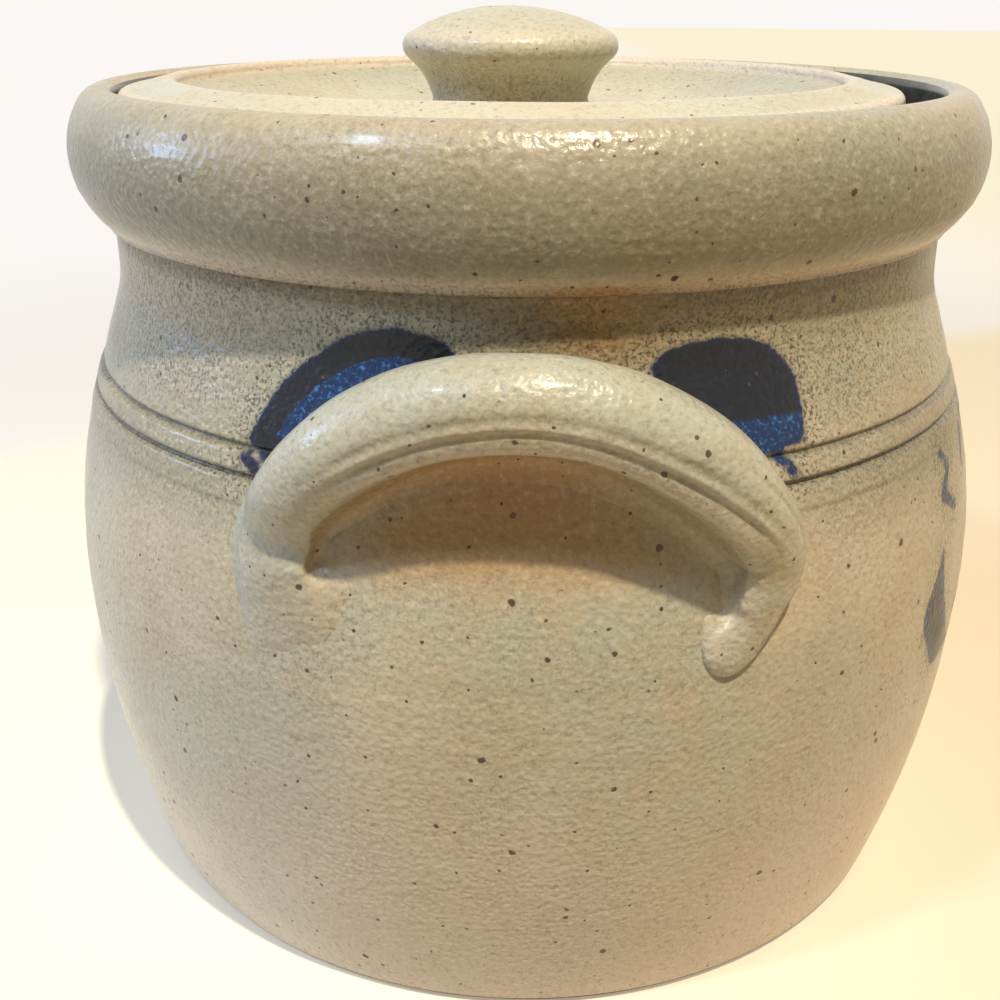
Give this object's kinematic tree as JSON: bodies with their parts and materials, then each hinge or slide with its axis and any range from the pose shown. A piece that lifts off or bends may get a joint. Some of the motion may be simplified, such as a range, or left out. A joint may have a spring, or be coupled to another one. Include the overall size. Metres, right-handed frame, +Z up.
{
  "type": "bean pot",
  "caption": "Round lidded stoneware pot with a rolled rim, two arched side handles and a loose drop-in lid with a button knob, for baking and serving.",
  "frame": {"origin": "on the pot's own axis, in the plane of its foot", "axes": "+Z up along the pot's axis, -Y towards the front handle, +X to the right seen from the front"},
  "size_m": [0.1942, 0.204, 0.174],
  "materials": {
    "salt_glazed_stoneware": "mottled salt glaze, satin to glossy, with cobalt brushwork on the pot and a dark liner glaze inside it"
  },
  "bodies": {
    "pot": {"pot_body": "salt_glazed_stoneware", "handle_front": "salt_glazed_stoneware", "handle_rear": "salt_glazed_stoneware"},
    "lid": {"lid_plate": "salt_glazed_stoneware", "lid_knob": "salt_glazed_stoneware"}
  },
  "joints": [
    {"name": "lid_lift", "type": "slide", "parent": "pot", "child": "lid", "axis": [0, 0, 1], "range_m": [0, 0.06]}
  ]
}
